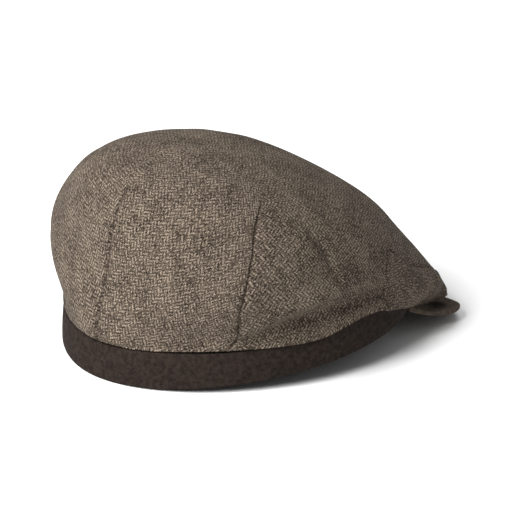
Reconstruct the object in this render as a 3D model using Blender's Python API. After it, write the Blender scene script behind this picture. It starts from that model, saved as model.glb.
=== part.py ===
"""Ivy cap: a darted cloth crown and a front yoke over a dark wool band and a short stiff peak.

Metres, +X is the front, +Y the wearer's left, +Z up. The cap lies on a floor at z = 0, on the back
of its band and on the front edge of its peak, so its band is pitched nose up.
Every piece is shaped with the band level, then turned about the band's back foot and set down.
"""
import math

import bpy
import numpy as np

MM = 0.001

# Band: an oval strip round the head opening
BAND_HALF_LENGTH = 101 * MM
BAND_HALF_WIDTH = 81 * MM
BAND_FRONT_SPREAD = 0.10
BAND_HEIGHT = 19.5 * MM
BAND_FRONT_HEIGHT = 8 * MM
BAND_WALL = 2.6 * MM
BAND_EDGE_ROUND = 0.6 * MM
BAND_FLAT_BACK = 16 * MM
BAND_STEPS = 96

# Peak: a curved plate that starts under the band's front edge
PEAK_HALF_WIDTH = 69 * MM
PEAK_CENTRE_X = 75.5 * MM
PEAK_TIP_X = 119 * MM
PEAK_SQUARENESS = 3.8
PEAK_TIP_DROP = 23 * MM
PEAK_CORNER_DROP = 13 * MM
PEAK_CORNER_POWER = 4
PEAK_THICK = 2.8 * MM
PEAK_SIDE_STEPS = 36
PEAK_FORWARD_STEPS = 9

# Cloth of the crown and of the yoke
CLOTH_WALL = 2.0 * MM
SEAM_GAP = 0.3 * MM
YOKE_SEAM_GAP = 0.7 * MM
HEM_ABOVE_PEAK = 0.9 * MM
APEX_X = -40 * MM
APEX_Z = 109.2 * MM
CROWN_RISE = 190 * MM

# Hem of the crown, from the front round one side to the back. It lies on the peak in front, passes
# outside the band, and sits on the band's top edge at the sides and the back. Millimetres.
HEM_COLUMNS = ("x", "y", "z")
HEM_STATIONS = (
    (113.5, 0, -19.0),
    (113.5, 25, -18.5),
    (112.5, 43, -17.0),
    (109, 52.5, -15.0),
    (98, 55.5, -13.0),
    (87, 59, -9.5),
    (77, 62.5, -5.5),
    (65, 68.5, 0.0),
    (50, 77, 8.0),
    (33, 83, 16.0),
    (15, 85.5, 20.0),
    (0, 84, 20.0),
    (-49, 69.3, 20.0),
    (-85.5, 39.7, 20.0),
    (-102, 0, 20.0),
)

# Crown sections above the hem, lowest first. Millimetres: front and back are where a section crosses
# the middle plane, half is its half width, at widest_x. The square columns are the exponents of its
# outline, 2 for an ellipse. The z columns are its heights at the front, the side and the back.
SECTION_COLUMNS = ("front", "back", "half", "widest_x", "square_front", "square_back",
                   "z_front", "z_side", "z_back")
CROWN_SECTIONS = (
    (118.5, -103.5, 80, -1.5, 2.7, 1.69, -11.5, 28.5, 25.3),
    (115.8, -101, 84, -10, 2.2, 1.82, -3.5, 39, 39),
    (104.5, -94, 85, -18, 1.93, 1.93, 17.5, 54.5, 57.5),
    (79.5, -87.5, 72, -23, 1.76, 1.87, 48.5, 78.5, 83),
    (37.5, -74, 54.5, -29, 1.78, 2.02, 81.2, 92.5, 101.4),
    (-2, -54, 29.7, -37.5, 1.95, 2.0, 101.2, 104, 107),
)
SECTION_Z_POWER = 1.7

# Darts: long seams that run up the crown from its hem and fade out at their tips. The centre one
# keeps to the middle plane, the side ones follow these places and lean forwards as they rise.
DART_REACH = 0.62
DART_DEPTH = 1.3 * MM
DART_WIDTH = 4.5 * MM
SIDE_DART_COLUMNS = ("up", "deg")
SIDE_DART = ((0.0, 138), (0.15, 131), (0.25, 124.6), (0.36, 119), (0.44, 114), (0.55, 104), (0.66, 84))

# Folds of the wearer's right side: long soft ridges, and hollows where the height is below zero.
# Each runs between two places, an angle round the crown from the front and a share of the way up.
FOLD_COLUMNS = ("from_deg", "from_up", "to_deg", "to_up", "height_mm", "width_mm")
FOLDS = (
    (-126, 0.085, -66, 0.115, 2.2, 8),
    (-122, 0.030, -90, 0.050, -1.6, 6),
    (-136, 0.165, -122, 0.150, -1.2, 7),
    (-110, 0.460, -108, 0.280, -1.2, 12),
    (-138, 0.640, -130, 0.640, -0.9, 10),
)

# Yoke: the front of the crown below this line, between two slanting seams
YOKE_HEM_DEG = 71
YOKE_TOP_DEG = 52.5
YOKE_ROW_SHARE = 0.2
YOKE_TOP_COLUMNS = ("deg", "up")
YOKE_TOP = (
    (0, 0.065),
    (15, 0.075),
    (28, 0.108),
    (38, 0.147),
    (44, 0.176),
    (49, 0.220),
    (53, 0.257),
    (66, 0.275),
    (180, 0.275),
)
YOKE_SKEW_SPREAD = 28
YOKE_SEAM_BEND = 1.35

CROWN_STEPS_ROUND = 84
CROWN_STEPS_UP = 22
SLOPE_STEP = 1e-4


def mix(a, b, share):
    return a + (b - a) * share


def smooth(x, start, end):
    """A ramp from 0 at start to 1 at end, level at both ends."""
    t = np.clip((x - start) / (end - start), 0, 1)
    return t * t * (3 - 2 * t)


def spline(knots, values, x, level_ends=False):
    """The cubic curve through values at knots with continuous curvature. Each value may be an array.

    level_ends makes the slope zero at both ends; otherwise the curvature is zero there.
    """
    knots = np.asarray(knots, float)
    values = np.asarray(values, float)
    shape = values.shape[1:]
    values = values.reshape(len(knots), -1)
    gap = np.diff(knots)
    rise = np.diff(values, axis=0) / gap[:, None]
    matrix = np.zeros((len(knots), len(knots)))
    target = np.zeros_like(values)
    matrix[0, 0] = matrix[-1, -1] = 1
    if not level_ends:
        matrix[0, 1] = matrix[-1, -2] = 0.5
        target[0] = 1.5 * rise[0]
        target[-1] = 1.5 * rise[-1]
    for i in range(1, len(knots) - 1):
        matrix[i, i - 1] = gap[i]
        matrix[i, i] = 2 * (gap[i - 1] + gap[i])
        matrix[i, i + 1] = gap[i - 1]
        target[i] = 3 * (gap[i] * rise[i - 1] + gap[i - 1] * rise[i])
    slope = np.linalg.solve(matrix, target)
    x = np.asarray(x, float)
    at = np.clip(np.searchsorted(knots, x, side="right") - 1, 0, len(knots) - 2)
    t = ((x - knots[at]) / gap[at])[..., None]
    span = gap[at][..., None]
    found = (values[at] * (1 + 2 * t) * (1 - t) ** 2 + slope[at] * span * t * (1 - t) ** 2
             + values[at + 1] * t * t * (3 - 2 * t) + slope[at + 1] * span * t * t * (t - 1))
    return found.reshape(x.shape + shape)


def wrap(angle):
    """The same angle between minus half a turn and half a turn."""
    return (angle + math.pi) % (2 * math.pi) - math.pi


def unit(v):
    return v / np.maximum(np.linalg.norm(v, axis=-1, keepdims=True), 1e-12)


def oval(angle, outwards=0.0):
    """The band's outline seen from above, a little wider in front than behind."""
    x = (BAND_HALF_LENGTH + outwards) * np.cos(angle)
    y = (BAND_HALF_WIDTH + outwards) * np.sin(angle) * (1 + BAND_FRONT_SPREAD * np.cos(angle))
    return x, y


def peak_root_x(y):
    """Where the peak starts, under the wall of the band."""
    width = BAND_HALF_WIDTH * (1 + BAND_FRONT_SPREAD * 0.8)
    return (BAND_HALF_LENGTH - BAND_WALL) * np.sqrt(1 - (y / width) ** 2)


def peak_front_x(y):
    """The peak's front edge seen from above, a squarish half oval."""
    share = np.clip(1 - np.abs(y / PEAK_HALF_WIDTH) ** PEAK_SQUARENESS, 0, 1) ** (1 / PEAK_SQUARENESS)
    return mix(PEAK_CENTRE_X, PEAK_TIP_X, share)


def peak_top_z(x, y):
    """The peak's upper face: it falls forwards, most in its middle and less at its corners."""
    y = np.clip(y, -0.98 * PEAK_HALF_WIDTH, 0.98 * PEAK_HALF_WIDTH)
    root = peak_root_x(y)
    share = np.clip((x - root) / (PEAK_TIP_X - 0.25 * np.abs(y) - root), 0, 1)
    drop = mix(PEAK_TIP_DROP, PEAK_CORNER_DROP, np.abs(y / PEAK_HALF_WIDTH) ** PEAK_CORNER_POWER)
    return -SEAM_GAP - drop * np.sin(share * math.pi / 2)


def hem(angle):
    """The crown's lower edge, at an angle round it from the front."""
    stations = np.array(HEM_STATIONS) * MM
    around = np.arctan2(stations[:, 1], stations[:, 0])
    values = np.stack([np.hypot(stations[:, 0], stations[:, 1]), stations[:, 2]], axis=-1)
    found = spline(around, values, np.abs(wrap(angle)), level_ends=True)
    x = found[..., 0] * np.cos(angle)
    y = found[..., 0] * np.sin(angle)
    over_peak = (x > PEAK_CENTRE_X - 0.006) & (np.abs(y) < PEAK_HALF_WIDTH + 0.003)
    inside = 1 - CLOTH_WALL / found[..., 0]
    lowest = peak_top_z(x * inside, y * inside) + HEM_ABOVE_PEAK
    z = np.where(over_peak, np.maximum(found[..., 1], lowest), found[..., 1])
    return np.stack([x, y, z], axis=-1)


def section(angle, row):
    """One section of the crown: a rounded oval whose height changes towards its front and back."""
    size = dict(zip(SECTION_COLUMNS, row))
    ahead = np.cos(angle) > 0
    middle = size["widest_x"] * MM
    reach = np.where(ahead, size["front"] * MM - middle, middle - size["back"] * MM)
    square = np.where(ahead, size["square_front"], size["square_back"])
    radius = np.abs(np.cos(angle) / reach) ** square + np.abs(np.sin(angle) / (size["half"] * MM)) ** square
    radius = radius ** (-1 / square)
    share = np.abs(radius * np.cos(angle) / reach) ** SECTION_Z_POWER
    end_z = np.where(ahead, size["z_front"], size["z_back"])
    z = mix(size["z_side"], end_z, share) * MM
    return np.stack([middle + radius * np.cos(angle), radius * np.sin(angle), z], axis=-1)


def section_knots():
    """How far up the crown each section lies, measured along its side as a share of the whole."""
    rows = [dict(zip(SECTION_COLUMNS, row)) for row in CROWN_SECTIONS]
    side = [(84, 20)] + [(row["half"], row["z_side"]) for row in rows] + [(0, APEX_Z / MM)]
    steps = [math.dist(a, b) for a, b in zip(side, side[1:])]
    return np.concatenate(([0], np.cumsum(steps))) / sum(steps)


SECTION_UP = section_knots()


def crown_plain(angle, up):
    """The crown without its folds: a smooth skin through the hem, the sections and the top."""
    angle, up = np.broadcast_arrays(np.asarray(angle, float), np.asarray(up, float))
    apex = np.broadcast_to(np.array([APEX_X, 0, APEX_Z]), angle.shape + (3,))
    rings = [hem(angle)] + [section(angle, row) for row in CROWN_SECTIONS] + [apex]
    weights = spline(SECTION_UP, np.eye(len(rings)), up)
    return sum(weights[..., i, None] * ring for i, ring in enumerate(rings))


def outward(angle, up):
    """The outward direction of the plain crown, from its slopes along angle and up."""
    low = np.clip(up - SLOPE_STEP, 0, 1 - 5 * SLOPE_STEP)
    along = crown_plain(angle + SLOPE_STEP, low) - crown_plain(angle - SLOPE_STEP, low)
    rise = crown_plain(angle, low + 2 * SLOPE_STEP) - crown_plain(angle, low)
    return unit(np.cross(along, rise))


def relief(angle, up, plain):
    """How far folds push the cloth out and how far darts draw it in."""
    girth = np.hypot(plain[..., 0] - APEX_X, plain[..., 1])
    places = np.array(SIDE_DART)
    side_line = np.radians(spline(places[:, 0], places[:, 1], np.minimum(up, places[-1, 0])))
    fade = smooth(up, DART_REACH, 0.35 * DART_REACH)
    out = np.zeros(np.shape(girth))
    for line in (math.pi, side_line, -side_line):
        aside = wrap(angle - line) * girth / DART_WIDTH
        out -= DART_DEPTH * fade * np.exp(-2 * aside ** 2)
    for row in FOLDS:
        fold = dict(zip(FOLD_COLUMNS, row))
        start = math.radians(fold["from_deg"])
        end = math.radians(fold["to_deg"])
        share = np.clip(wrap(angle - start) / (end - start), 0, 1)
        aside = wrap(angle - mix(start, end, share)) * girth
        above = (up - mix(fold["from_up"], fold["to_up"], share)) * CROWN_RISE
        distance = np.hypot(aside, above) / (fold["width_mm"] * MM)
        out += fold["height_mm"] * MM * np.exp(-2 * distance ** 2)
    return out * smooth(up, 0.0, 0.02)


def crown_faces(angle, up):
    """The crown's outer face with its folds, and its inner face a cloth's thickness inside."""
    plain = crown_plain(angle, up)
    way = outward(angle, up)
    outer = plain + way * relief(angle, up, plain)[..., None]
    level = unit(way * np.array([1, 1, 0]))
    inwards = unit(mix(level, way, smooth(up, 0.0, 0.10)[..., None]))
    return outer, outer - inwards * CLOTH_WALL


def place(around, row):
    """Where a grid line of the cloth lies. The grid is slanted so that it follows the yoke's seams."""
    deg = np.degrees(wrap(around))
    skew = (YOKE_HEM_DEG - YOKE_TOP_DEG) * np.exp(-((np.abs(deg) - YOKE_HEM_DEG) / YOKE_SKEW_SPREAD) ** 2)
    skew = skew * smooth(np.abs(deg), 0, 20)
    lower = np.minimum(row / YOKE_ROW_SHARE, 1)
    upper = np.clip((row - YOKE_ROW_SHARE) / (1 - YOKE_ROW_SHARE), 0, 1)
    deg = deg - np.sign(deg) * skew * lower ** YOKE_SEAM_BEND * (1 - smooth(upper, 0, 0.7))
    table = np.array(YOKE_TOP)
    top = spline(table[:, 0], table[:, 1], np.abs(deg), level_ends=True)
    return np.radians(deg), mix(top * lower, 1, upper)


def rest_pitch():
    """The angle at which the peak's lowest point comes down to the level of the band's foot."""
    y = np.linspace(0, PEAK_HALF_WIDTH, 200)
    x = peak_front_x(y)
    under = peak_top_z(x, y) - PEAK_THICK
    return float(np.max(np.arctan2(-under, x + BAND_HALF_LENGTH)))


PITCH = rest_pitch()


def set_down(points):
    """Turn points nose up about the band's back foot."""
    x = points[..., 0] + BAND_HALF_LENGTH
    z = points[..., 2]
    ahead = x * math.cos(PITCH) - z * math.sin(PITCH) - BAND_HALF_LENGTH
    return np.stack([ahead, points[..., 1], x * math.sin(PITCH) + z * math.cos(PITCH)], axis=-1)


def material(name, colour, roughness):
    found = bpy.data.materials.new(name)
    found.use_nodes = True
    shader = found.node_tree.nodes["Principled BSDF"]
    shader.inputs["Base Color"].default_value = (*colour, 1)
    shader.inputs["Roughness"].default_value = roughness
    shader.inputs["Metallic"].default_value = 0
    return found


def add_object(name, points, faces, finish):
    """One named object from points and faces, without the points that no face uses."""
    used = np.unique(np.concatenate([np.asarray(face) for face in faces]))
    number = np.full(len(points), -1)
    number[used] = np.arange(len(used))
    mesh = bpy.data.meshes.new(name)
    mesh.from_pydata(points[used].tolist(), [], [[int(number[p]) for p in face] for face in faces])
    mesh.update()
    mesh.shade_smooth()
    mesh.set_sharp_from_angle(angle=math.radians(40))
    piece = bpy.data.objects.new(name, mesh)
    bpy.context.scene.collection.objects.link(piece)
    mesh.materials.append(finish)


def shell_faces(kept, closed):
    """Faces of a shell over a grid: its outer cells, its inner cells, and a rim round every edge.

    kept marks the cells that exist. Outer points come first and inner points after them, row by row.
    closed joins the last column to the first.
    """
    cells, steps = kept.shape
    columns = steps if closed else steps + 1
    inner = (cells + 1) * columns
    faces = []
    for i, j in zip(*np.nonzero(kept)):
        k = (j + 1) % columns
        a, b, c, d = i * columns + j, i * columns + k, (i + 1) * columns + k, (i + 1) * columns + j
        faces.append([a, b, c, d])
        faces.append([inner + d, inner + c, inner + b, inner + a])
        sides = ((i - 1, j, a, b), (i + 1, j, c, d), (i, j + 1, b, c), (i, j - 1, d, a))
        for row, col, p, q in sides:
            if closed:
                col %= steps
            beside = 0 <= row < cells and 0 <= col < steps and kept[row, col]
            if not beside and not (closed and row == cells):
                faces.append([q, p, inner + p, inner + q])
    return faces


def band():
    """A closed oval strip, lower in front where the crown's slope passes over it.

    It is flattened underneath at the back, where the cap rests.
    """
    angle = np.linspace(0, 2 * math.pi, BAND_STEPS, endpoint=False)
    top = mix(BAND_HEIGHT, BAND_FRONT_HEIGHT, smooth(np.cos(angle), 0.2, 0.85))
    inset = BAND_EDGE_ROUND - BAND_WALL
    profile = ((-BAND_EDGE_ROUND, 0), (0, BAND_EDGE_ROUND), (0, top - BAND_EDGE_ROUND), (-BAND_EDGE_ROUND, top),
               (inset, top), (-BAND_WALL, top - BAND_EDGE_ROUND), (-BAND_WALL, BAND_EDGE_ROUND), (inset, 0))
    rows = [np.stack([*oval(angle, outwards), height + 0 * angle], axis=-1) for outwards, height in profile]
    points = set_down(np.stack(rows))
    under = points[[0, -1]]
    under[..., 2] = np.where(under[..., 0] < BAND_FLAT_BACK - BAND_HALF_LENGTH, 0, under[..., 2])
    points[[0, -1]] = under
    faces = []
    for i in range(len(profile)):
        for j in range(BAND_STEPS):
            this, above = i * BAND_STEPS, (i + 1) % len(profile) * BAND_STEPS
            k = (j + 1) % BAND_STEPS
            faces.append([this + j, this + k, above + k, above + j])
    add_object("band", points.reshape(-1, 3), faces, material("dark wool band", (0.040, 0.031, 0.027), 0.95))


def peak():
    """Two faces over one plan, joined by an edge."""
    side = np.sin(np.linspace(-math.pi / 2, math.pi / 2, PEAK_SIDE_STEPS + 1))
    y = side[None, :] * 0.985 * PEAK_HALF_WIDTH
    share = np.linspace(0, 1, PEAK_FORWARD_STEPS + 1)[:, None]
    x = mix(peak_root_x(y), peak_front_x(y), share)
    y = np.broadcast_to(y, x.shape)
    top = np.stack([x, y, peak_top_z(x, y)], axis=-1)
    bottom = top - np.array([0, 0, PEAK_THICK])
    points = set_down(np.concatenate([bottom.reshape(-1, 3), top.reshape(-1, 3)]))
    points[:, 2] = np.maximum(points[:, 2], 0)
    kept = np.ones((PEAK_FORWARD_STEPS, PEAK_SIDE_STEPS), bool)
    add_object("peak", points, shell_faces(kept, closed=False),
               material("dark wool peak", (0.031, 0.023, 0.019), 0.95))


def cloth_points(around, row):
    outer, inner = crown_faces(*place(around, row))
    return np.concatenate([outer.reshape(-1, 3), inner.reshape(-1, 3)])


def crown():
    """The crown's shell, without the cells of the yoke and closed by a fan at the top."""
    yoke_rows = round(YOKE_ROW_SHARE * CROWN_STEPS_UP) + 1
    lower = np.linspace(0, YOKE_ROW_SHARE, yoke_rows + 1)
    rows = np.concatenate([lower, np.linspace(YOKE_ROW_SHARE, 1, CROWN_STEPS_UP - yoke_rows + 1)[1:-1]])
    seam = math.radians(YOKE_HEM_DEG)
    ahead = round(CROWN_STEPS_ROUND * YOKE_HEM_DEG / 360) * 2
    front = np.linspace(-seam, seam, ahead + 1)
    behind = np.linspace(seam, 2 * math.pi - seam, CROWN_STEPS_ROUND - ahead + 1)[1:-1]
    around, row = np.meshgrid(np.concatenate([front, behind]), rows)
    kept = np.ones((len(rows) - 1, around.shape[1]), bool)
    kept[:yoke_rows, :ahead] = False
    faces = shell_faces(kept, closed=True)
    points = set_down(cloth_points(around, row))
    count = around.size
    columns = around.shape[1]
    last = count - columns
    crest = set_down(np.array([[APEX_X, 0, APEX_Z], [APEX_X, 0, APEX_Z - CLOTH_WALL]]))
    for j in range(columns):
        k = (j + 1) % columns
        faces.append([last + j, last + k, 2 * count])
        faces.append([count + last + k, count + last + j, 2 * count + 1])
    add_object("crown", np.concatenate([points, crest]), faces, material("tweed", (0.150, 0.120, 0.095), 0.95))


def front_yoke():
    """The tweed piece over the peak. It keeps a seam's gap from the crown above and behind it."""
    seam = math.radians(YOKE_HEM_DEG) - YOKE_SEAM_GAP / BAND_HALF_WIDTH
    yoke_rows = 5
    across = round(CROWN_STEPS_ROUND * YOKE_HEM_DEG / 360) * 2
    around = np.linspace(-seam, seam, across + 1)
    tall = crown_plain(*place(around, YOKE_ROW_SHARE)) - crown_plain(*place(around, 0 * around))
    gap = YOKE_SEAM_GAP / np.linalg.norm(tall, axis=-1)
    share = np.linspace(0, 1, yoke_rows + 1)[:, None]
    row = YOKE_ROW_SHARE * share * (1 - gap)
    points = set_down(cloth_points(np.broadcast_to(around, row.shape), row))
    kept = np.ones((yoke_rows, across), bool)
    add_object("front_yoke", points, shell_faces(kept, closed=False),
               material("tweed yoke", (0.120, 0.096, 0.076), 0.95))


def centre_on_origin():
    """Move every piece so that the middle of the whole cap's length is at x = 0."""
    pieces = list(bpy.data.objects)
    ahead = [vertex.co.x for piece in pieces for vertex in piece.data.vertices]
    middle = (min(ahead) + max(ahead)) / 2
    for piece in pieces:
        for vertex in piece.data.vertices:
            vertex.co.x -= middle


def main():
    for old in list(bpy.data.objects):
        bpy.data.objects.remove(old, do_unlink=True)
    band()
    peak()
    crown()
    front_yoke()
    centre_on_origin()


main()
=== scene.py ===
# %% [markdown]
# # An ivy cap in herringbone tweed
#
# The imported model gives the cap's four solids: crown, front yoke, band and peak. They have the right
# size and place but look like plain plaster. Here each of them is replaced by a finer surface of the
# same shape, and each surface gets the cloth that the real piece is made of. All lengths are in
# metres and everything is built where the solids already are, so nothing has to be fitted later.

import math

import bpy
import numpy as np
from mathutils import Matrix, Vector


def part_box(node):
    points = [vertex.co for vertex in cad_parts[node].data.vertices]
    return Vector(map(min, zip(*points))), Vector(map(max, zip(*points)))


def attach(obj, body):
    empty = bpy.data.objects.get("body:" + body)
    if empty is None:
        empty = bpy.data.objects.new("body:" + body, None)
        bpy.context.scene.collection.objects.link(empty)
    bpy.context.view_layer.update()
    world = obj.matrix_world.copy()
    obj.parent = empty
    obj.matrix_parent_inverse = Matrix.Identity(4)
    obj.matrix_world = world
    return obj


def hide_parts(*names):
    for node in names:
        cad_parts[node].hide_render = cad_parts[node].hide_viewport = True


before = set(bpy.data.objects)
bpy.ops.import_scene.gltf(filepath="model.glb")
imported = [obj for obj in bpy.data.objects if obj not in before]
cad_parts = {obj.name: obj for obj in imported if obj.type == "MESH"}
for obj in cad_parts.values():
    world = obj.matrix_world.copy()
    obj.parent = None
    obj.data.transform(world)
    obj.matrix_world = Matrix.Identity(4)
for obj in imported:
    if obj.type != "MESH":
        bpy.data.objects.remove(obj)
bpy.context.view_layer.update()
MM = 0.001
print("solids:", sorted(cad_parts))

# %% [markdown]
# ## Camera
#
# The cap is seen from behind, over its wearer's right shoulder, with a long lens that hardly shows
# perspective. Three numbers say where the camera stands: an angle round the cap, an angle above the
# floor, and a small roll. A long distance with a narrow lens gives the flat look of a product shot.

# %% Camera
CAMERA_ROUND = math.radians(-49.32)
CAMERA_ABOVE = math.radians(20.92)
CAMERA_ROLL = math.radians(3.41)
CAMERA_DISTANCE = 10.0
CAMERA_TARGET = Vector((7.9, -0.5, 39.0)) * MM
FRAME_WIDTH = 265.1 * MM


def add_camera():
    """Look at the target from a distance: back = (sin a cos e, -cos a cos e, sin e), and right and up
    are square to it, then both are turned by the roll."""
    back = Vector((math.sin(CAMERA_ROUND) * math.cos(CAMERA_ABOVE),
                   -math.cos(CAMERA_ROUND) * math.cos(CAMERA_ABOVE), math.sin(CAMERA_ABOVE)))
    right = Vector((0, 0, 1)).cross(back).normalized()
    up = back.cross(right)
    turned = Matrix.Rotation(CAMERA_ROLL, 3, back)
    right, up = turned @ right, turned @ up
    data = bpy.data.cameras.new("camera")
    data.lens = data.sensor_width * CAMERA_DISTANCE / FRAME_WIDTH
    data.clip_end = 30
    camera = bpy.data.objects.new("camera", data)
    bpy.context.scene.collection.objects.link(camera)
    camera.matrix_world = Matrix((right, up, back)).transposed().to_4x4()
    camera.location = CAMERA_TARGET + back * CAMERA_DISTANCE
    bpy.context.scene.camera = camera
    print("camera stands at", [round(v, 2) for v in camera.location], "lens", round(data.lens), "mm")


add_camera()

# %% [markdown]
# ## Tools for curves
#
# A soft shape is described by a few stations and a smooth curve through them. A natural cubic spline
# does that: it is a cubic between each two stations, and its slope and curvature agree where they
# meet. The values may be whole rows of numbers, so the same function carries a ring of points.

# %% Curves through stations
def mix(a, b, share):
    return a + (b - a) * share


def smooth(x, start, end):
    """A ramp from 0 at start to 1 at end: 3 t squared minus 2 t cubed."""
    t = np.clip((x - start) / (end - start), 0, 1)
    return t * t * (3 - 2 * t)


def bump(distance, width):
    """A soft hill of height 1: e to the power of minus 2 times the square of distance over width."""
    return np.exp(-2 * (distance / width) ** 2)


def unit(v):
    """The same direction, made one long."""
    return v / np.maximum(np.linalg.norm(v, axis=-1, keepdims=True), 1e-12)


def wrap(angle):
    """The same angle between minus half a turn and half a turn."""
    return (angle + math.pi) % (2 * math.pi) - math.pi


print("a soft hill at half its width and at its full width:", bump(np.array([0.5, 1.0]), 1.0).round(3))

# %% Spline
def spline(knots, values, x, level_ends=False):
    """The cubic through values at knots with continuous curvature, by Hermite's form: each piece mixes
    its two end values and its two end slopes, and the slopes come from one tridiagonal system."""
    knots = np.asarray(knots, float)
    values = np.asarray(values, float)
    shape = values.shape[1:]
    values = values.reshape(len(knots), -1)
    gap = np.diff(knots)
    rise = np.diff(values, axis=0) / gap[:, None]
    matrix = np.zeros((len(knots), len(knots)))
    target = np.zeros_like(values)
    matrix[0, 0] = matrix[-1, -1] = 1
    if not level_ends:
        matrix[0, 1] = matrix[-1, -2] = 0.5
        target[0] = 1.5 * rise[0]
        target[-1] = 1.5 * rise[-1]
    for i in range(1, len(knots) - 1):
        matrix[i, i - 1] = gap[i]
        matrix[i, i] = 2 * (gap[i - 1] + gap[i])
        matrix[i, i + 1] = gap[i - 1]
        target[i] = 3 * (gap[i] * rise[i - 1] + gap[i - 1] * rise[i])
    slope = np.linalg.solve(matrix, target)
    x = np.asarray(x, float)
    at = np.clip(np.searchsorted(knots, x, side="right") - 1, 0, len(knots) - 2)
    t = ((x - knots[at]) / gap[at])[..., None]
    span = gap[at][..., None]
    found = (values[at] * (1 + 2 * t) * (1 - t) ** 2 + slope[at] * span * t * (1 - t) ** 2
             + values[at + 1] * t * t * (3 - 2 * t) + slope[at + 1] * span * t * t * (t - 1))
    return found.reshape(x.shape + shape)


print("a spline through 0, 1, 0 is between them at", spline([0, 1, 2], [0, 1, 0], [0.5, 1.5]).round(3))

# %% [markdown]
# ## How the cap lies
#
# The pieces are easiest to describe with the band level. The cap on a floor lies on the back of its
# band and on the front edge of its peak, so every finished point is turned nose up by one small angle
# about the band's back foot, and moved so that the middle of the cap's length is over the origin.

# %% Laying the cap down
BACK_FOOT = 101 * MM
PITCH = math.radians(6.7657)
MIDDLE = 7.546 * MM


def set_down(points):
    """x and z turn about the back foot: x cos p minus z sin p, and x sin p plus z cos p."""
    x = points[..., 0] + BACK_FOOT
    z = points[..., 2]
    ahead = x * math.cos(PITCH) - z * math.sin(PITCH) - BACK_FOOT - MIDDLE
    return np.stack([ahead, points[..., 1], x * math.sin(PITCH) + z * math.cos(PITCH)], axis=-1)


band_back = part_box("band")[0][0]
print("the band's foot stands at", round(-(BACK_FOOT + MIDDLE) / MM, 1), "mm")
print("the solid band reaches back to", round(band_back / MM, 1), "mm")

# %% [markdown]
# ## Band and peak outlines
#
# The band is an oval strip, a little wider towards the front. The peak starts under the band's front
# and its edge is a squarish half oval. Its upper face falls forwards like a quarter of a sine wave.
# The crown rests on both, so their shapes come first.

# %% Band and peak shapes
BAND_HALF_LENGTH = 101 * MM
BAND_HALF_WIDTH = 81 * MM
BAND_FRONT_SPREAD = 0.10
BAND_HEIGHT = 19.5 * MM
BAND_FRONT_HEIGHT = 8 * MM
BAND_WALL = 2.6 * MM
PEAK_HALF_WIDTH = 69 * MM
PEAK_CENTRE_X = 75.5 * MM
PEAK_TIP_X = 119 * MM
PEAK_SQUARENESS = 3.8
PEAK_TIP_DROP = 23 * MM
PEAK_CORNER_DROP = 13 * MM
PEAK_CORNER_POWER = 4
PEAK_THICK = 2.8 * MM
PEAK_START_Z = -0.3 * MM
PEAK_EDGE_SWEEP = 0.25


def oval(angle, outwards=0.0):
    """An ellipse, x = a cos t and y = b sin t, with y widened in front by a share of cos t."""
    x = (BAND_HALF_LENGTH + outwards) * np.cos(angle)
    y = (BAND_HALF_WIDTH + outwards) * np.sin(angle) * (1 + BAND_FRONT_SPREAD * np.cos(angle))
    return x, y


def peak_root_x(y):
    """The band's inner front, as an ellipse with about the spread that the band has there."""
    width = BAND_HALF_WIDTH * (1 + BAND_FRONT_SPREAD * 0.8)
    return (BAND_HALF_LENGTH - BAND_WALL) * np.sqrt(1 - (y / width) ** 2)


def peak_front_x(y):
    """The power n of x and the power n of y add up to one, which is an oval with squared shoulders."""
    share = np.clip(1 - np.abs(y / PEAK_HALF_WIDTH) ** PEAK_SQUARENESS, 0, 1) ** (1 / PEAK_SQUARENESS)
    return mix(PEAK_CENTRE_X, PEAK_TIP_X, share)


def peak_top_z(x, y):
    """Height falls with the sine of the way forwards, and less at the corners."""
    y = np.clip(y, -0.98 * PEAK_HALF_WIDTH, 0.98 * PEAK_HALF_WIDTH)
    root = peak_root_x(y)
    share = np.clip((x - root) / (PEAK_TIP_X - PEAK_EDGE_SWEEP * np.abs(y) - root), 0, 1)
    drop = mix(PEAK_TIP_DROP, PEAK_CORNER_DROP, np.abs(y / PEAK_HALF_WIDTH) ** PEAK_CORNER_POWER)
    return PEAK_START_Z - drop * np.sin(share * math.pi / 2)


sag = peak_top_z(np.array(PEAK_TIP_X), np.array(0.0))
print("the peak's tip hangs", round(-sag / MM, 1), "mm under the level of the band's foot")

# %% [markdown]
# ## The crown's skin
#
# The crown is one piece of cloth, shaped by three long darts. Its plain form is a stack of rings: the
# hem, then six rounded ovals, then a point at the top. Every ring is a formula of the angle round the
# crown, and a spline through the rings gives the skin between them. Height along the skin, from 0 at
# the hem to 1 at the top, is called up. The hem is not a clean line on a real cap: it sags and rises
# by a millimetre or two round the band, draws in at the back, and tucks under a fold on the right.

# %% The hem
HEM_STATIONS = np.array([
    # x, y, z in millimetres, from the front round one side to the back
    (113.5, 0, -19.0), (113.5, 25, -18.5), (112.5, 43, -17.0), (109, 52.5, -15.0), (98, 55.5, -13.0),
    (87, 59, -9.5), (77, 62.5, -5.5), (65, 68.5, 0.0), (50, 77, 8.0), (33, 83, 16.0), (15, 85.5, 20.0),
    (0, 84, 20.0), (-49, 69.3, 20.0), (-85.5, 39.7, 20.0), (-102, 0, 20.0),
]) * MM
HEM_SWAY = np.array([(0, 0), (40, 0), (75, 0), (86, 0), (91, -1.0), (95, -1.5), (104, -2.2), (117, -1.2),
                     (127, -0.3), (138, 0.5), (150, 1.4), (180, 1.5)])
HEM_TUCK = 1.2 * MM
HEM_BACK_INSET = 1.6 * MM
HEM_ABOVE_PEAK = 0.9 * MM


def hem_sway(angle):
    """How far the hem is drawn up above its plain line, or let down below it where this is negative, by
    a spline over the angle from the front."""
    return spline(HEM_SWAY[:, 0], HEM_SWAY[:, 1] * MM, np.degrees(np.abs(wrap(angle))), level_ends=True)


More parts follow.
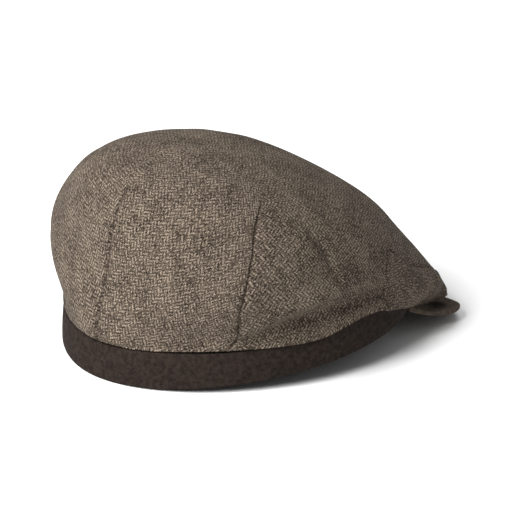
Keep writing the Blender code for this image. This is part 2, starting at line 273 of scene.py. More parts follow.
def hem(angle):
    """Radius and height at each station, joined by a spline over the angle, drawn in at the back and
    under the fold ahead of the right dart, and kept off the peak."""
    around = np.arctan2(HEM_STATIONS[:, 1], HEM_STATIONS[:, 0])
    values = np.stack([np.hypot(HEM_STATIONS[:, 0], HEM_STATIONS[:, 1]), HEM_STATIONS[:, 2]], axis=-1)
    found = spline(around, values, np.abs(wrap(angle)), level_ends=True)
    degrees = np.degrees(wrap(angle))
    found[..., 0] -= HEM_TUCK * smooth(degrees, -100, -92) * smooth(degrees, -70, -77)
    found[..., 0] -= HEM_BACK_INSET * smooth(np.abs(degrees), 110, 140)
    found[..., 1] += hem_sway(angle)
    x = found[..., 0] * np.cos(angle)
    y = found[..., 0] * np.sin(angle)
    over_peak = (x > PEAK_CENTRE_X - 6 * MM) & (np.abs(y) < PEAK_HALF_WIDTH + 3 * MM)
    lowest = peak_top_z(x, y) + HEM_ABOVE_PEAK
    z = np.where(over_peak, np.maximum(found[..., 1], lowest), found[..., 1])
    return np.stack([x, y, z], axis=-1)


hem_heights = hem(np.radians(np.arange(-180, 180)))[:, 2] / MM
print("the hem lies between", hem_heights.min().round(1), "and", hem_heights.max().round(1), "mm")

# %% The ovals above it
APEX = np.array([-40, 0, 109.2]) * MM
SECTIONS = (
    # front, back, half width, widest x, front and back exponents, height at front, side and back
    (118.5, -103.5, 80, -1.5, 2.7, 1.69, -11.5, 28.5, 25.3),
    (115.8, -101, 84, -10, 2.2, 1.82, -3.5, 39, 39),
    (104.5, -94, 85, -18, 1.93, 1.93, 17.5, 54.5, 57.5),
    (79.5, -87.5, 72, -23, 1.76, 1.87, 48.5, 78.5, 83),
    (37.5, -74, 54.5, -29, 1.78, 2.02, 81.2, 92.5, 101.4),
    (-2, -54, 29.7, -37.5, 1.95, 2.0, 101.2, 104, 107),
)
RING_TILT_POWER = 1.7


def ring(angle, size):
    """An oval whose front and back halves have their own reach and exponent. Its height goes from the
    side's to the front's or back's with a power of the way along."""
    front, back, half, middle, square_front, square_back, z_front, z_side, z_back = size
    ahead = np.cos(angle) > 0
    reach = np.where(ahead, front - middle, middle - back)
    square = np.where(ahead, square_front, square_back)
    radius = np.abs(np.cos(angle) / reach) ** square + np.abs(np.sin(angle) / half) ** square
    radius = radius ** (-1 / square)
    share = np.abs(radius * np.cos(angle) / reach) ** RING_TILT_POWER
    z = mix(z_side, np.where(ahead, z_front, z_back), share)
    return np.stack([middle + radius * np.cos(angle), radius * np.sin(angle), z], axis=-1) * MM


# the half width and height of the hem, of each ring and of the top, in millimetres: how far apart they
# lie along the crown's side gives each its share of the way up
SIDE = [(84, 20)] + [(size[2], size[7]) for size in SECTIONS] + [(0, APEX[2] / MM)]
STEPS = [math.dist(a, b) for a, b in zip(SIDE, SIDE[1:])]
RING_UP = np.concatenate(([0], np.cumsum(STEPS))) / sum(STEPS)
print("rings lie at these shares of the way up:", RING_UP.round(2).tolist())

# %% The plain skin
CROWN_RISE = 190 * MM


def crown_plain(angle, up):
    """Each ring weighted by its own cubic of up, all added together."""
    angle, up = np.broadcast_arrays(np.asarray(angle, float), np.asarray(up, float))
    rings = [hem(angle)] + [ring(angle, size) for size in SECTIONS]
    rings.append(np.broadcast_to(APEX, angle.shape + (3,)))
    weights = spline(RING_UP, np.eye(len(rings)), up)
    return sum(weights[..., i, None] * points for i, points in enumerate(rings))


def outward(angle, up):
    """The cross product of the slopes along angle and up, made one long."""
    step = 1e-4
    low = np.clip(up - step, 0, 1 - 5 * step)
    along = crown_plain(angle + step, low) - crown_plain(angle - step, low)
    rise = crown_plain(angle, low + 2 * step) - crown_plain(angle, low)
    return unit(np.cross(along, rise))


print("outwards at the middle of the back:", outward(math.pi, 0.3).round(2).tolist())

# %% [markdown]
# ## Seams
#
# Four lines matter on each side of the crown: the dart at the centre back, a side dart that leans
# forwards as it rises, and the rear and the top edge of the front yoke. Each is a table or a formula
# from height to angle or back, so the shape and the cloth pattern can ask how far away a seam is.

# %% Seam lines
DART_REACH = 0.62
SIDE_DART = np.array([(0.0, 138.8), (0.15, 129.8), (0.25, 123.4), (0.36, 117.8), (0.44, 113.4), (0.55, 103),
                      (0.66, 83.3)])
YOKE_HEM_DEG = 71
YOKE_TOP_DEG = 52.5
YOKE_SEAM_BEND = 1.35
YOKE_TOP = np.array([(0, 0.065), (15, 0.075), (28, 0.108), (38, 0.147), (44, 0.176), (49, 0.220), (53, 0.257),
                     (66, 0.275), (180, 0.275)])


def side_dart(up):
    """The side dart's angle from the front at a height, held level above its tip."""
    return np.radians(spline(SIDE_DART[:, 0], SIDE_DART[:, 1], np.minimum(up, SIDE_DART[-1, 0])))


def yoke_top(angle):
    """How high the yoke reaches at an angle."""
    return spline(YOKE_TOP[:, 0], YOKE_TOP[:, 1], np.abs(np.degrees(wrap(angle))), level_ends=True)


YOKE_CORNER_UP = float(yoke_top(math.radians(YOKE_TOP_DEG)))


def yoke_rear(up):
    """The yoke's rear seam bends forwards as it rises, up to the corner where its top seam starts.
    Above that it goes back, so that the crown's columns spread evenly again."""
    rise = np.clip(up / YOKE_CORNER_UP, 0, 1) ** YOKE_SEAM_BEND
    back_again = smooth(up, YOKE_CORNER_UP, 0.8)
    return np.radians(YOKE_HEM_DEG - (YOKE_HEM_DEG - YOKE_TOP_DEG) * rise * (1 - back_again))


print("the yoke's rear corner lies at", round(YOKE_CORNER_UP, 3), "of the way up")

# %% [markdown]
# ## Relief: darts, folds and swells
#
# Real cloth is never as smooth as a formula. It stands up in a low ridge along each dart, highest on
# the right, and the stitches pull a sharp line into that ridge. Long soft folds run forwards from the
# foot of the right dart, where the cloth is gathered over the band. The panel ahead of that dart sinks
# in a little, the back swells, and the brow is full above the peak. A sum of slow waves keeps the rest
# from looking moulded. All of it is one number per point: how far the skin moves outwards.

# %% Folds and waves
FOLDS = np.array([
    # from angle and height, to angle and height, then height and width in millimetres
    (-136, 0.075, -112, 0.140, 2.0, 6.5),
    (-112, 0.140, -90, 0.160, 1.7, 7.0),
    (-90, 0.165, -70, 0.165, 0.8, 6.0),
    (-118, 0.065, -92, 0.070, -2.0, 5.5),
    (-112, 0.028, -99, 0.022, 0.8, 4.0),
    (-98, 0.026, -72, 0.026, 2.0, 4.5),
    (-136, 0.165, -122, 0.150, -1.3, 6.0),
    (-116, 0.215, -90, 0.240, -1.2, 9.0),
    (-110, 0.460, -108, 0.280, -1.4, 11.0),
    (-138, 0.640, -130, 0.640, -1.0, 10.0),
    (-60, 0.190, -50, 0.200, -1.2, 6.0),
    (-46, 0.175, -40, 0.150, -1.0, 4.0),
    # broad and soft: the sunken panel, the swell of the back, and the line of the top in front
    (-88, 0.290, -82, 0.310, -4.5, 46.0),
    (-152, 0.350, -146, 0.370, 3.0, 42.0),
    (4, 0.640, -16, 0.480, 0.8, 26.0),
    (-14, 0.345, -22, 0.275, -1.1, 22.0),
])
WAVES = np.array([
    # cycles round, cycles up, phase, height in millimetres
    (3, 1.3, 0.4, 0.20), (5, 0.8, 2.1, 0.20), (7, 2.2, 4.0, 0.15), (11, 3.1, 1.0, 0.10), (4, 4.3, 5.2, 0.10),
    (16, 2.0, 3.3, 0.06),
])


def fold_relief(angle, up, girth):
    """Each fold is a soft hill along a line, lower towards the line's ends by part of a sine wave."""
    out = 0
    for row in FOLDS:
        start, end = math.radians(row[0]), math.radians(row[2])
        share = np.clip(wrap(angle - start) / (end - start), 0, 1)
        aside = wrap(angle - mix(start, end, share)) * girth
        above = (up - mix(row[1], row[3], share)) * CROWN_RISE
        taper = 0.45 + 0.55 * np.sin(math.pi * np.clip(share, 0.1, 0.9))
        out = out + row[4] * MM * taper * bump(np.hypot(aside, above), row[5] * MM)
    return out


def wave_relief(angle, up):
    """Sines of the angle and the height together, fading out at the hem and at the top."""
    out = 0
    for round_count, up_count, phase, height in WAVES:
        out = out + height * MM * np.sin(round_count * angle + 2 * math.pi * up_count * up + phase)
    return out * smooth(up, 0.02, 0.2) * smooth(up, 0.98, 0.7)


print(len(FOLDS), "folds and swells,", len(WAVES), "slow waves")

# %% Relief of the cloth
SKIN_INSET = -0.4 * MM
DART_RIDGES = (1.2 * MM, 4.2 * MM, -0.8 * MM)
DART_RIDGE_WIDTH = 22 * MM
DART_PANEL = 45 * MM
DART_PANEL_SHARE = 0.55
DART_PUFF, DART_PUFF_WIDTH = 0.3 * MM, 13 * MM
DART_HOLLOW, DART_HOLLOW_WIDTH = 0.7 * MM, 3.2 * MM
STITCH_DEPTH, STITCH_WIDTH = 1.1 * MM, 0.8 * MM
BROW_PUFF = 1.4 * MM
BROW_SIDES = (math.radians(75), math.radians(45))
BROW_HEIGHTS = (0.32, 0.15)


def seam_distances(angle, up, plain):
    """How far a point lies to the side of each dart, in metres along the skin: back, right, left."""
    girth = np.hypot(plain[..., 0] - APEX[0], plain[..., 1])
    line = side_dart(up)
    return [wrap(angle - place) * girth for place in (math.pi, -line, line)]


def stitched(up):
    """1 along the sewn part of a dart, fading out round its tip."""
    return smooth(up, 1.04 * DART_REACH, 0.84 * DART_REACH)


def dart_relief(up, aside, ridge):
    """A ridge falls off by an exponential to both sides, less a wide bell that keeps the panel's size.
    Along its crest go a soft puff, a narrow hollow and the line that the stitches pull in."""
    form = np.exp(-np.abs(aside) / DART_RIDGE_WIDTH) - DART_PANEL_SHARE * np.exp(-(aside / DART_PANEL) ** 2)
    crest = DART_PUFF * bump(aside, DART_PUFF_WIDTH) - DART_HOLLOW * bump(aside, DART_HOLLOW_WIDTH)
    line = STITCH_DEPTH * bump(aside, STITCH_WIDTH)
    return smooth(up, DART_REACH, 0.45 * DART_REACH) * (ridge * form + crest) - stitched(up) * line


def relief(angle, up, plain):
    """Darts, folds, waves and the full brow added together, fading to nothing on the hem itself."""
    girth = np.hypot(plain[..., 0] - APEX[0], plain[..., 1])
    out = np.full(np.shape(girth), SKIN_INSET)
    for aside, ridge in zip(seam_distances(angle, up, plain), DART_RIDGES):
        out += dart_relief(up, aside, ridge)
    out += fold_relief(angle, up, girth) + wave_relief(angle, up)
    brow = smooth(np.abs(wrap(angle)), *BROW_SIDES) * smooth(up, *BROW_HEIGHTS)
    return (out + BROW_PUFF * brow) * smooth(up, 0.0, 0.02)


around, heights = np.meshgrid(np.radians(np.arange(-180, 180, 3)), np.linspace(0, 0.9, 40))
moved = relief(around, heights, crown_plain(around, heights))
print("the relief goes from", round(moved.min() / MM, 1), "to", round(moved.max() / MM, 1), "mm")

# %% The skin with its relief
YOKE_GIRTH = 95 * MM
YOKE_BED_EDGE = (-0.6 * MM, 1.2 * MM)


def under_yoke(angle, up):
    """1 inside the yoke's outline and 0 outside, with a soft edge, from the distances to both seams."""
    below = (yoke_top(angle) - up) * CROWN_RISE
    inside = (yoke_rear(up) - np.abs(wrap(angle))) * YOKE_GIRTH
    return smooth(np.minimum(below, inside), *YOKE_BED_EDGE)


def crown_skin(angle, up, sink=0.0):
    """The plain skin moved outwards by its relief, less a sink."""
    plain = crown_plain(angle, up)
    way = outward(angle, up)
    return plain + way * (relief(angle, up, plain) - sink)[..., None], way


print("the yoke covers", round(100 * under_yoke(around, heights).mean()), "% of the angles and heights")

# %% [markdown]
# ## Putting grids into meshes
#
# Every piece is a grid of points. A closed grid joins its last column to its first. Where a grid runs
# into a single point, such as the top of the crown, its last row would be a ring of points in one
# place, so a fan of triangles to one pole takes the place of that row.

# %% Grid to mesh
def grid_quads(rows, columns, closed):
    """Corner numbers of all the cells of a grid, as one array."""
    i, j = np.meshgrid(np.arange(rows - 1), np.arange(columns if closed else columns - 1), indexing="ij")
    k = (j + 1) % columns
    low, high = i * columns, (i + 1) * columns
    return np.stack([low + j, low + k, high + k, high + j], axis=-1).reshape(-1, 4)


print("a closed grid of 3 rows and 4 columns has", len(grid_quads(3, 4, closed=True)), "cells")

# %% Mesh to piece
def add_piece(name, node, points, quads, triangles=(), uv=None, marks=None):
    """Points, four-sided and three-sided faces, a flat position for each corner, and named marks.

    uv holds one position for each corner of each face, in the order of the faces. marks maps a name
    to one number per point, which a material can read.
    """
    mesh = bpy.data.meshes.new(name)
    quads = np.asarray(quads).reshape(-1, 4)
    triangles = np.asarray(triangles, int).reshape(-1, 3)
    corners = np.concatenate([quads.ravel(), triangles.ravel()])
    sizes = np.concatenate([np.full(len(quads), 4), np.full(len(triangles), 3)])
    mesh.vertices.add(len(points))
    mesh.vertices.foreach_set("co", set_down(points).astype(np.float32).ravel())
    mesh.loops.add(len(corners))
    mesh.loops.foreach_set("vertex_index", corners.astype(np.int32))
    mesh.polygons.add(len(sizes))
    mesh.polygons.foreach_set("loop_start", np.concatenate([[0], np.cumsum(sizes)[:-1]]).astype(np.int32))
    mesh.update(calc_edges=True)
    mesh.validate()
    if uv is not None:
        mesh.uv_layers.new(name="cloth").data.foreach_set("uv", np.asarray(uv, np.float32).ravel())
    for mark, values in (marks or {}).items():
        layer = mesh.attributes.new(mark, "FLOAT", "POINT")
        layer.data.foreach_set("value", np.asarray(values, np.float32).ravel())
    mesh.shade_smooth()
    piece = bpy.data.objects.new(name, mesh)
    bpy.context.scene.collection.objects.link(piece)
    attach(piece, "root")
    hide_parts(node)
    print(name, "has", len(points), "points and", len(quads) * 2 + len(triangles), "triangles")
    return piece


# %% [markdown]
# ## The cloth pattern
#
# Tweed shows how a cap was cut: its herringbone columns run straight across a flat piece of cloth, and
# bend and jump where the darts close it into a dome. To get that, the crown is laid flat again. A
# coarse net covers the skin, and each of its edges asks for its own real length in a direction that is
# known from how the columns lean against the lines that run up the crown. Least squares finds the flat
# place of each knot that suits all the edges best. The net is cut open along the darts, where the two
# sides of the cloth lie apart, and is whole above them.

# %% Places round the crown
SPANS = 6
LEAN_TURN_BACK = math.radians(44)
LEAN_TURN_SIDE_BEHIND = math.radians(-10)
LEAN_TURN_SIDE_AHEAD = math.radians(42)


def span_angle(place, up):
    """The angle round the crown at a place from 0 to 6. Whole numbers are the seams: the centre back,
    the right dart, the yoke's right seam, the front, and the same again on the left."""
    dart, rear = side_dart(up), yoke_rear(up)
    half = np.broadcast_to(math.pi, np.shape(dart))
    knots = np.stack([-half, -dart, -rear, 0 * half, rear, dart, half], axis=0)
    at = np.clip(np.floor(place).astype(int), 0, SPANS - 1)
    share = place - at
    at, share, up = np.broadcast_arrays(at, share, up)
    knots = knots.reshape((SPANS + 1,) + (1,) * (at.ndim - np.ndim(dart)) + np.shape(dart))
    knots = np.broadcast_to(knots, (SPANS + 1,) + at.shape)
    first = np.take_along_axis(knots, at[None], axis=0)[0]
    second = np.take_along_axis(knots, at[None] + 1, axis=0)[0]
    return mix(first, second, share)


def column_lean(place, angle, up):
    """The angle from the up direction of the skin to the columns, turning towards the front on the
    right. Above the darts the columns run straight forwards, so it is the plan angle. Below their
    tips the closed darts turn the cloth, by an amount that changes evenly from seam to seam."""
    turn_at = np.interp(place, [0, 1], [LEAN_TURN_BACK, LEAN_TURN_SIDE_BEHIND])
    ahead = np.interp(place, [1, 3, 5], [LEAN_TURN_SIDE_AHEAD, 0, -LEAN_TURN_SIDE_AHEAD])
    behind_left = np.interp(place, [5, 6], [-LEAN_TURN_SIDE_BEHIND, -LEAN_TURN_BACK])
    turn = np.where(place < 1, turn_at, np.where(place > 5, behind_left, ahead))
    return math.pi + angle + turn * smooth(up, 1.75 * DART_REACH, 0.75 * DART_REACH)


seams_low = np.degrees(span_angle(np.arange(SPANS), 0.1)).round().astype(int)
print("seams near the hem, in degrees from the front:", seams_low.tolist())

# %% Knots of the flat net
SPAN_STEPS = (11, 13, 12, 12, 13, 11)
FLAT_ROWS = 26
FLAT_UP = np.linspace(0, 0.96, FLAT_ROWS)
CUT_TOP = 0.97 * DART_REACH


def knot_numbers():
    """The columns and the knots' numbers of each of the three panels. Where a cut ends at a dart's tip,
    the knots of its two sides become one and the same."""
    cuts = [0, SPAN_STEPS[0], sum(SPAN_STEPS[:5]), sum(SPAN_STEPS)]
    number = {}
    panels = []
    for p in range(3):
        columns = list(range(cuts[p], cuts[p + 1] + 1))
        index = np.empty((FLAT_ROWS, len(columns)), int)
        for i, row_up in enumerate(FLAT_UP):
            for j, column in enumerate(columns):
                shared = row_up > CUT_TOP and column in (columns[0], columns[-1])
                key = (i, column % cuts[-1]) if shared else (i, column, p)
                index[i, j] = number.setdefault(key, len(number))
        panels.append((columns, index))
    return panels, len(number)


def knot_frames(place, up):
    """The knots on the skin, the lean of the columns there, and the ways up and to the side."""
    angle = span_angle(place, up)
    step = 1e-3
    climb = unit(crown_plain(angle, up + step) - crown_plain(angle, up - step))
    side = unit(np.cross(climb, outward(angle, up)))
    return crown_plain(angle, up), column_lean(place, angle, up), climb, side


def edge_wishes(points, lean, climb, side, a, b):
    """The length of each edge from knots a to knots b, and the flat step it asks for. The step's angle
    is the lean of the columns less the edge's own heading, both against the way up."""
    edge = points[b] - points[a]
    length = np.linalg.norm(edge, axis=-1)
    sideways, upwards = unit(side[a] + side[b]), unit(climb[a] + climb[b])
    heading = np.arctan2((edge * sideways).sum(-1), (edge * upwards).sum(-1))
    turned = np.angle(np.exp(1j * lean[a]) + np.exp(1j * lean[b])) - heading
    return length, np.stack([length * np.cos(turned), length * np.sin(turned)], axis=-1)


print("the flat net has", knot_numbers()[1], "knots")

# %% Lay the crown flat
def lay_flat():
    """Solve for the flat net. Each edge gives two equations, one along and one across, and a short edge
    counts for more. Added up they are the normal equations of least squares."""
    places = np.concatenate([np.linspace(k, k + 1, n + 1)[:-1] for k, n in enumerate(SPAN_STEPS)] + [[SPANS]])
    panels, total = knot_numbers()
    normal = np.zeros((total, total))
    target = np.zeros((total, 2))
    for columns, index in panels:
        inner = np.clip(places[columns], places[columns[0]] + 1e-6, places[columns[-1]] - 1e-6)
        frames = knot_frames(*np.broadcast_arrays(inner[None, :], FLAT_UP[:, None]))
        for rise, run in ((0, 1), (1, 0)):
            a = (slice(0, index.shape[0] - rise), slice(0, index.shape[1] - run))
            b = (slice(rise, None), slice(run, None))
            length, wish = edge_wishes(*frames, a, b)
            i, j = index[a].ravel(), index[b].ravel()
            weight = (1 / np.maximum(length, 1 * MM)).ravel()
            wish = wish.reshape(-1, 2) * weight[:, None]
            for one, other, sign in ((i, i, 1), (j, j, 1), (i, j, -1), (j, i, -1)):
                np.add.at(normal, (one, other), sign * weight)
            np.add.at(target, i, -wish)
            np.add.at(target, j, wish)
    normal[0, 0] += 1e6
    flat = np.linalg.solve(normal, target)
    return [(places[columns], flat[index]) for columns, index in panels]


FLAT_PANELS = lay_flat()
FLAT_TOP = np.concatenate([net[-1, :-1] for _, net in FLAT_PANELS]).mean(0)
spread = np.concatenate([net.reshape(-1, 2) for _, net in FLAT_PANELS])
print("the crown's flat pattern is", ((spread.max(0) - spread.min(0)) / MM).round().tolist(), "mm")


def flat_place(panel, place, up):
    """Where a panel's point lies on the flat cloth: the net's knots, joined by splines both ways.
    Above the net's last ring it moves straight to the middle of that ring."""
    columns, net = FLAT_PANELS[panel]
    along = spline(FLAT_UP, net, np.clip(up, FLAT_UP[0], FLAT_UP[-1]))
    to_top = np.clip((up - FLAT_UP[-1]) / (1 - FLAT_UP[-1]), 0, 1)[:, None, None]
    return spline(columns, np.swapaxes(mix(along, FLAT_TOP, to_top), 0, 1), place).swapaxes(0, 1)


# %% [markdown]
# ## The crown
#
# The crown's mesh starts inside, comes down its inner face, rolls under the hem and climbs its outer
# face to the top, so it is one closed shell with a soft edge. Columns crowd together at the darts,
# where the skin dives into a narrow seam, and spread out between them.

# %% Columns of the crown
COLUMNS = (66, 62, 44, 44, 62, 66)
DART_CROWDING = 0.88
YOKE_CROWDING = 0.7


def crowd(t, strength):
    """Even steps from 0 to 1, drawn together at both ends by taking off part of a sine wave."""
    return t - strength * np.sin(2 * math.pi * t) / (2 * math.pi)


def crown_places():
    """Places from 0 up to 6, closer together at the three darts and at the yoke's rear seams. The two
    spans in front share one crowding, because the front has no seam in its middle."""
    spans = []
    for k, n in enumerate(COLUMNS):
        t = np.arange(n) / n
        in_front = k in (2, 3)
        spans.append(2 + 2 * crowd((t + k - 2) / 2, YOKE_CROWDING) if in_front
                     else k + crowd(t, DART_CROWDING))
    return np.concatenate(spans)


PLACES = crown_places()
print("the crown has", len(PLACES), "columns")

# %% Crown surface
INNER_ROWS = 30
HEM_ROWS = 11
HEM_ROWS_TOP = 0.06
OUTER_ROWS = 100
ROLL_ROWS = 7
ROLL = 1.2 * MM
CLOTH = 1.7 * MM
YOKE_SINK = 1.7 * MM
INNER_RELIEF = 0.6
INNER_UP = np.linspace(0.965, 0.03, INNER_ROWS)
OUTER_UP = np.concatenate([np.linspace(0, HEM_ROWS_TOP, HEM_ROWS, endpoint=False),
                           np.linspace(HEM_ROWS_TOP, 1, OUTER_ROWS, endpoint=False)])


def hem_roll(foot, above, way, radius, turns):
    """A circle's arc under the hem. Its two directions are the level part of outwards, and the way
    from the hem's row to the row above it."""
    level = unit(way * np.array([1, 1, 0]))
    climb = unit(above - foot)
    turns = turns[:, None, None]
    return foot - level * radius + radius * (level * np.cos(turns) - climb * np.sin(turns))


def crown_grid(place):
    """Rows of points from inside the top down to the hem, round its roll and up outside to the top.
    The inner face lies a cloth's thickness inside and has a softer relief."""
    angle = span_angle(place[None, :], OUTER_UP[:, None])
    up = OUTER_UP[:, None] + 0 * angle
    outer, way = crown_skin(angle, up, YOKE_SINK * under_yoke(angle, up))
    roll = hem_roll(outer[0], outer[1], way[0], ROLL, np.linspace(math.pi, 0, ROLL_ROWS + 2)[:-1])
    angle = span_angle(place[None, :], INNER_UP[:, None])
    up = INNER_UP[:, None] + 0 * angle
    plain = crown_plain(angle, up)
    push = INNER_RELIEF * relief(angle, up, plain) - CLOTH - YOKE_SINK * under_yoke(angle, up)
    inner = plain + outward(angle, up) * push[..., None]
    return np.concatenate([inner, roll, outer]), np.concatenate([INNER_UP, np.zeros(len(roll)), OUTER_UP])


print("the crown has", len(INNER_UP), "rows inside and", len(OUTER_UP), "outside")

# %% Cloth positions and marks of the crown
SEAM_WIDTH = 0.9 * MM


def crown_flat(place, ups):
    """The flat position of each corner of each face. The two sides of a cut have their own, so it is
    worked out for the left and the right edge of each cell and then dealt out to the corners."""
    edges = np.cumsum((0,) + COLUMNS)
    cell = np.zeros((len(ups), len(place), 2, 2))
    for panel, (first, end) in enumerate(((0, edges[1]), (edges[1], edges[5]), (edges[5], edges[6]))):
        net = flat_place(panel, np.append(place[first:end], SPANS if end == len(place) else place[end]), ups)
        cell[:, first:end, 0] = net[:, :-1]
        cell[:, first:end, 1] = net[:, 1:]
    top = np.broadcast_to(FLAT_TOP, (len(place), 2))
    quads = np.stack([cell[:-1, :, 0], cell[:-1, :, 1], cell[1:, :, 1], cell[1:, :, 0]], axis=2)
    low_fan = np.stack([cell[0, :, 1], cell[0, :, 0], top], axis=1)
    high_fan = np.stack([cell[-1, :, 0], cell[-1, :, 1], top], axis=1)
    return np.concatenate([corners.reshape(-1, 2) for corners in (quads, low_fan, high_fan)])


def crown_marks(place, ups):
    """Two numbers per point: seam is 1 along a stitched dart, and inside is 1 on the inner face."""
    angle = span_angle(place[None, :], ups[:, None])
    up = ups[:, None] + 0 * angle
    seam = np.zeros(up.shape)
    for aside in seam_distances(angle, up, crown_plain(angle, up)):
        seam = np.maximum(seam, bump(aside, SEAM_WIDTH) * stitched(up))
    inside = np.zeros(up.shape)
    inside[:INNER_ROWS] = 1
    return {"seam": np.append(seam, [0, 0]), "inside": np.append(inside, [1, 0])}


# %% Crown mesh
def build_crown():
    """The grid is closed round the crown, and a fan of triangles to one point closes each end."""
    points, ups = crown_grid(PLACES)
    rows, columns = points.shape[:2]
    count = rows * columns
    top = APEX + np.array([0, 0, relief(np.array(0.0), np.array(1.0), APEX)])
    j = np.arange(columns)
    k = (j + 1) % columns
    last = count - columns
    fans = np.concatenate([np.stack([k, j, np.full(columns, count)], axis=-1),
                           np.stack([last + j, last + k, np.full(columns, count + 1)], axis=-1)])
    points = np.concatenate([points.reshape(-1, 3), [points[0].mean(0), top]])
    return add_piece("crown_cloth", "crown", points, grid_quads(rows, columns, closed=True), fans,
                     crown_flat(PLACES, ups), crown_marks(PLACES, ups))


crown = build_crown()

# %% [markdown]
# ## The front yoke
#
# The yoke lies over the front of the crown and ends at two seams. It is a thin pillow: its outer face
# follows the crown's skin, and it dives down all round its edge into the seam. It is a piece of cloth
# of its own, so its herringbone runs at its own angle.

# %% Yoke surface
YOKE_ACROSS = 150
YOKE_ROWS = 34
YOKE_EDGE = 1.6 * MM
YOKE_DIVE = 1.3 * MM
YOKE_PUFF = 0.25 * MM
YOKE_CLOTH = 1.25 * MM
YOKE_RIM = 0.25 * MM
YOKE_ROLL = 0.9 * MM


def yoke_net():
    """Across from seam to seam and up from hem to top seam, with the columns and rows crowded at the
    edges. Angle and height depend on each other, so each is found from the other a few times over."""
    across = crowd(np.linspace(0, 1, YOKE_ACROSS), 0.8) * 2 - 1
    a, v = np.meshgrid(across, crowd(np.linspace(0, 1, YOKE_ROWS), 0.7))
    angle = a * math.radians(YOKE_HEM_DEG)
    up = v * yoke_top(angle)
    for _ in range(8):
        angle = a * yoke_rear(up)
        up = v * yoke_top(angle)
    to_side = (1 - np.abs(a)) * yoke_rear(up) * YOKE_GIRTH
    to_top = (1 - v) * yoke_top(angle) * CROWN_RISE
    return angle, up, np.minimum(to_side, to_top)


def yoke_shell(angle, up, edge):
    """The outer face sinks near its edge by a quarter-circle's profile, beside a slight puff. The inner
    face lies a cloth's thickness inside, and an arc joins the two under the hem."""
    sunk = YOKE_DIVE * (1 - np.sqrt(1 - (1 - np.clip(edge / YOKE_EDGE, 0, 1)) ** 2))
    outer, way = crown_skin(angle, up, sunk - YOKE_PUFF * bump(edge - 3.5 * MM, 3 * MM))
    inner = outer - way * np.where(edge <= 0, YOKE_RIM, YOKE_CLOTH)[..., None]
    roll = hem_roll(outer[0], outer[1], way[0], YOKE_ROLL, np.linspace(math.pi, 0, 7)[1:-1])
    return np.concatenate([inner[::-1], roll, outer])


print("the yoke's net has", yoke_net()[0].shape, "rows and columns")

# %% Closing the yoke
def yoke_strips(rows, columns):
    """Cells that join the inner face to the outer one along the top seam and both rear seams."""
    j = np.arange(columns - 1)
    last = (rows - 1) * columns
    i = np.arange(YOKE_ROWS - 1)
    inner, outer = (YOKE_ROWS - 1 - i) * columns, (rows - YOKE_ROWS + i) * columns
    side = np.stack([inner, outer, outer + columns, inner - columns], axis=-1)
    return [np.stack([last + j, last + j + 1, j + 1, j], axis=-1), side[:, ::-1], side + columns - 1]


def yoke_roll_ends(rows, columns):
    """The points round each end of the hem's roll, and a fan of triangles to a new point in its middle."""
    rims, fans = [], []
    for k, column in enumerate((0, columns - 1)):
        rim = np.arange(YOKE_ROWS - 1, rows - YOKE_ROWS + 1) * columns + column
        fan = np.stack([rim, np.roll(rim, -1), np.full(len(rim), rows * columns + k)], axis=-1)
        rims.append(rim)
        fans.append(fan if k else fan[:, ::-1])
    return rims, np.concatenate(fans)


# %% Cloth positions of the yoke
YOKE_GRAIN = math.radians(50)


def yoke_flat(plain):
    """Distances along the rows from the middle plane and along the columns from the first row, turned
    by the angle at which the cloth is cut."""
    columns = plain.shape[1]
    along = np.cumsum(np.linalg.norm(np.diff(plain, axis=1), axis=-1), axis=1)
    along = np.concatenate([np.zeros((len(plain), 1)), along], axis=1)
    along = along - along[:, [columns // 2]]
    rise = np.cumsum(np.linalg.norm(np.diff(plain, axis=0), axis=-1), axis=0)
    rise = np.concatenate([np.zeros((1, columns)), rise])
    return np.stack([along * math.cos(YOKE_GRAIN) - rise * math.sin(YOKE_GRAIN),
                     along * math.sin(YOKE_GRAIN) + rise * math.cos(YOKE_GRAIN)], axis=-1).reshape(-1, 2)


# %% Yoke mesh
YOKE_SEAM_WIDTH = 1.1 * MM


def build_yoke():
    """The shell, its closing strips and its two fans. Each number per point goes round the hem with the
    rows: down the inner face, level along the roll, and up the outer face."""
    angle, up, edge = yoke_net()
    shell = yoke_shell(angle, up, edge)
    rows, columns = shell.shape[:2]
    angle, up, edge = (np.concatenate([v[::-1], np.broadcast_to(v[0], (rows - 2 * YOKE_ROWS, columns)), v])
                       for v in (angle, up, edge))
    faces = np.concatenate([grid_quads(rows, columns, closed=False)] + yoke_strips(rows, columns))
    rims, fans = yoke_roll_ends(rows, columns)
    points = shell.reshape(-1, 3)
    points = np.concatenate([points, [points[rim].mean(0) for rim in rims]])
    flat = np.concatenate([yoke_flat(crown_plain(angle, up)), np.zeros((2, 2))])
    inside = np.zeros((rows, columns))
    inside[:YOKE_ROWS] = 1
    marks = {"seam": np.append(bump(edge, YOKE_SEAM_WIDTH), [0, 0]), "inside": np.append(inside, [0, 0])}
    return add_piece("front_yoke_cloth", "front_yoke", points, faces, fans,
                     flat[np.append(faces, fans)], marks)


yoke = build_yoke()

# %% [markdown]
# ## Band
#
# The band is a strip of felted wool, stitched into the crown's hem above and folded under below. Its
# cross-section is a thin rounded box carried round the oval. It leans in a little at the back, as the
# hem does. A slow wave keeps it from looking turned on a lathe, and at the back it is flat underneath,
# where the cap's weight rests on it.

# %% Band section
BAND_AROUND = 360
BAND_LEAN = 1.2 * MM
BAND_CORNER = 0.9 * MM
BAND_BULGE = 0.25 * MM
BAND_FACE_STEPS = (0.2, 0.4, 0.6, 0.8)


